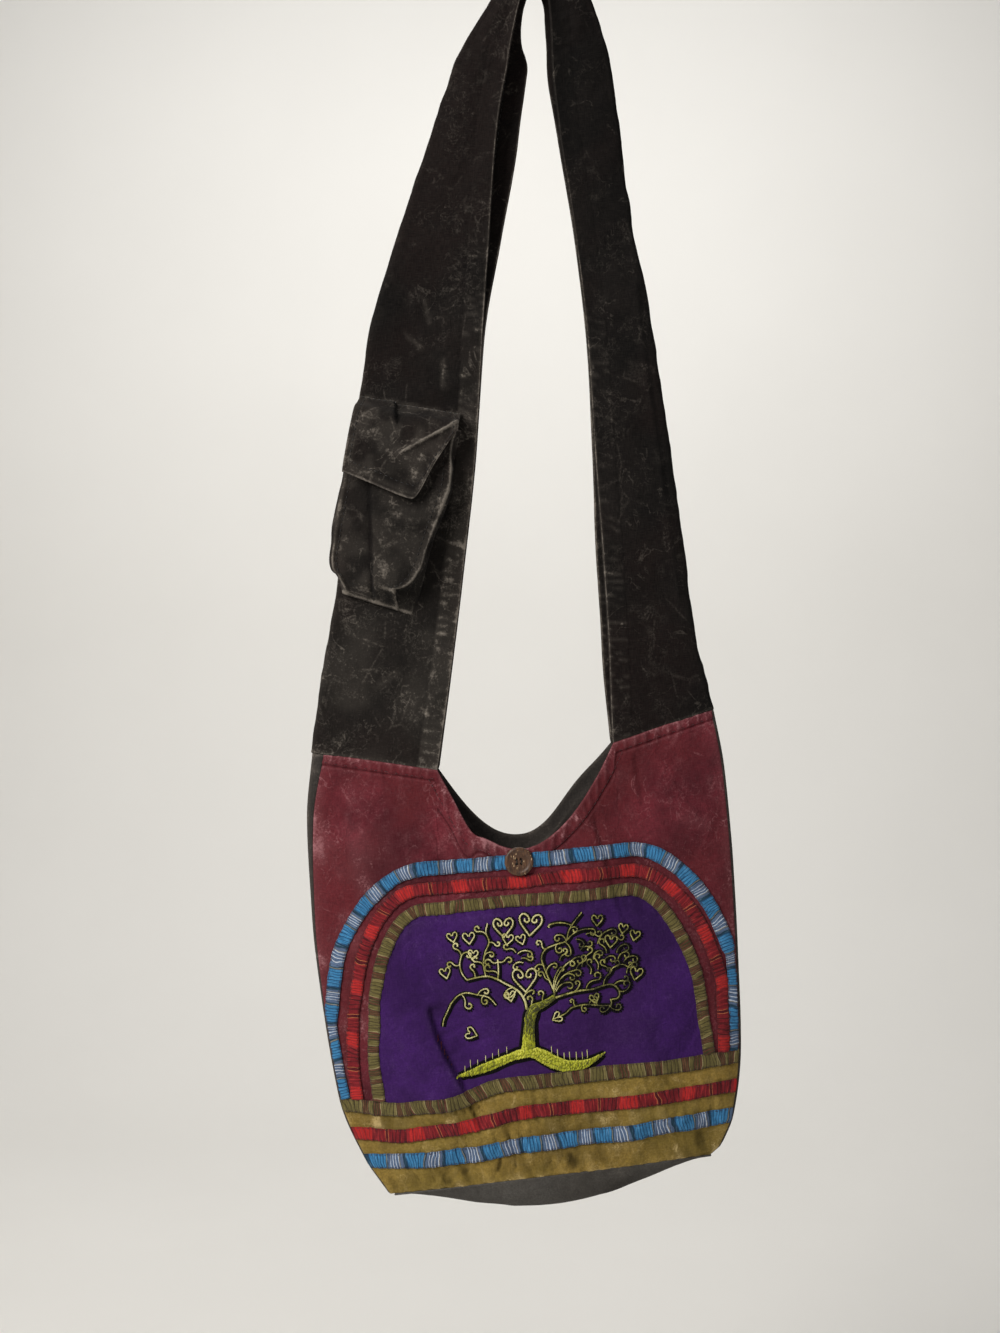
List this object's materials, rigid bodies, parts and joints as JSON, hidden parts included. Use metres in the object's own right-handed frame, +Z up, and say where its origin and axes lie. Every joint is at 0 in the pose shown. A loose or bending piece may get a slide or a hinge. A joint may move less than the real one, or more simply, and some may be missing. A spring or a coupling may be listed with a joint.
{
  "type": "embroidered crossbody bag",
  "caption": "Hanging cotton shoulder bag with a wide folded strap, a bellows pocket on it, arched striped strips and an embroidered tree on the front.",
  "frame": {"origin": "inside of the strap's fold at the top of its loop, where a hook or a shoulder carries the bag", "axes": "+Z up, +X to the right of the embroidered front, -Y out of that front"},
  "size_m": [0.3038, 0.0449, 0.8902],
  "materials": {
    "black_cotton": "stonewashed, matt, pale at hems and creases",
    "maroon_cotton": "washed, matt",
    "olive_cotton": "washed and mottled, matt",
    "purple_cotton": "matt",
    "blue_stripe": "handwoven stripes, matt",
    "red_stripe": "handwoven stripes, matt",
    "olive_stripe": "handwoven stripes, matt",
    "green_thread": "satin stitch, slight sheen",
    "coconut_shell": "smooth, with pale flecks"
  },
  "bodies": {
    "root": {"strap": "black_cotton", "front_yoke": "maroon_cotton", "front_lower_panel": "olive_cotton", "centre_panel": "purple_cotton", "arch_strip_blue": "blue_stripe", "arch_strip_red": "red_stripe", "arch_strip_olive": "olive_stripe", "band_strip_olive": "olive_stripe", "band_strip_red": "red_stripe", "band_strip_blue": "blue_stripe", "tree_hill": "green_thread", "tree_trunk": "green_thread", "back_panel": "black_cotton", "bottom_panel": "black_cotton", "button": "coconut_shell", "pocket_pouch": "black_cotton", "pocket_flap": "black_cotton"}
  },
  "joints": []
}
